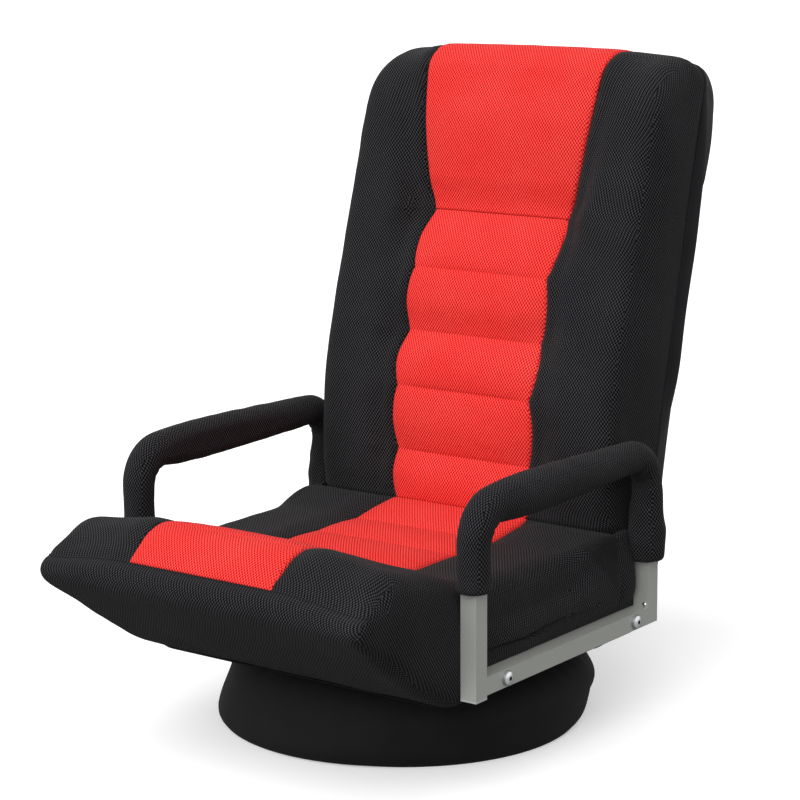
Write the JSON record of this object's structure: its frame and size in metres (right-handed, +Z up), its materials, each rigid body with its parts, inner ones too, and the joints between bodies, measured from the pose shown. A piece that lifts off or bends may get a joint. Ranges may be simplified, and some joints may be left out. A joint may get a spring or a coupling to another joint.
{
  "type": "swivel floor chair",
  "caption": "Legless swivel chair for the floor with a reclining high back, channelled mesh cushions, an upturned front roll and padded armrests.",
  "frame": {"origin": "on the floor, on the swivel axis, at the centre of the base's underside", "axes": "+Z up; -Y towards the front of the seat; +X to the sitter's left, which is the viewer's right from the front"},
  "size_m": [0.565, 0.7791, 0.8456],
  "materials": {
    "red_mesh": "open-weave padded air mesh",
    "black_mesh": "open-weave padded air mesh",
    "black_cloth": "plain woven cloth",
    "foam": "soft foam under the cloth",
    "floor_pad": "rough non-slip pad",
    "webbing": "woven elastic",
    "silver_paint": "satin powder coat",
    "black_paint": "satin powder coat",
    "grey_plastic": "moulded",
    "steel": "stamped",
    "zinc": "bright zinc plate"
  },
  "bodies": {
    "base": {"base_floor_pad": "floor_pad", "base_frame": "black_paint", "base_foam": "foam", "base_cover": "black_cloth", "swivel_lower_plate": "steel", "swivel_balls": "steel", "swivel_ball_cage": "grey_plastic", "swivel_king_pin": "steel", "base_plate_bolts": "zinc"},
    "seat": {"swivel_upper_plate": "steel", "seat_plate_bolts": "zinc", "seat_frame": "black_paint", "seat_crossbars": "black_paint", "seat_belts": "webbing", "seat_bottom_cover": "black_cloth", "seat_cushion": "black_mesh", "seat_side_blocks": "black_cloth", "seat_front_panel": "red_mesh", "seat_channel_panel": "red_mesh", "crease_wedge": "black_mesh", "crease_channel": "red_mesh", "left_arm_hoop": "silver_paint", "left_arm_rail": "silver_paint", "left_arm_sleeve": "black_cloth", "left_arm_bolts": "zinc", "left_arm_nuts": "zinc", "left_arm_spacers": "zinc", "left_arm_caps": "grey_plastic", "left_arm_screw": "zinc", "right_arm_hoop": "silver_paint", "right_arm_rail": "silver_paint", "right_arm_sleeve": "black_cloth", "right_arm_bolts": "zinc", "right_arm_nuts": "zinc", "right_arm_spacers": "zinc", "right_arm_caps": "grey_plastic", "right_arm_screw": "zinc", "left_hinge_housing": "steel", "left_hinge_pin": "zinc", "left_pawl_pin": "zinc", "left_pawl_spring": "steel", "right_hinge_housing": "steel", "right_hinge_pin": "zinc", "right_pawl_pin": "zinc", "right_pawl_spring": "steel"},
    "pawl_left": {"left_pawl": "steel"},
    "pawl_right": {"right_pawl": "steel"},
    "backrest": {"left_ratchet_plate": "steel", "right_ratchet_plate": "steel", "back_frame": "black_paint", "back_belts": "webbing", "back_cushion": "black_mesh", "back_rear_pad": "black_cloth", "back_lower_roll": "black_mesh", "back_channel_panel": "red_mesh", "back_head_panel": "red_mesh"}
  },
  "joints": [
    {"name": "swivel", "type": "hinge", "parent": "base", "child": "seat", "pos_m": [0, 0, 0.0965], "axis": [0, 0, 1], "continuous": true},
    {"name": "recline", "type": "hinge", "parent": "seat", "child": "backrest", "pos_m": [0, 0.178, 0.165], "axis": [-1, 0, 0], "range_deg": [-45, 75], "deforming": ["crease_wedge", "crease_channel"]},
    {"name": "pawl_lift_left", "type": "hinge", "parent": "seat", "child": "pawl_left", "pos_m": [0.1961, 0.13641, 0.15915], "axis": [-1, 0, 0], "range_deg": [0, 14], "stiffness_Nm_per_rad": 0.08, "springref_deg": -28.65, "deforming": ["left_pawl_spring"]},
    {"name": "pawl_lift_right", "type": "hinge", "parent": "seat", "child": "pawl_right", "pos_m": [-0.1961, 0.13641, 0.15915], "axis": [-1, 0, 0], "range_deg": [0, 14], "stiffness_Nm_per_rad": 0.08, "springref_deg": -28.65, "deforming": ["right_pawl_spring"]}
  ]
}
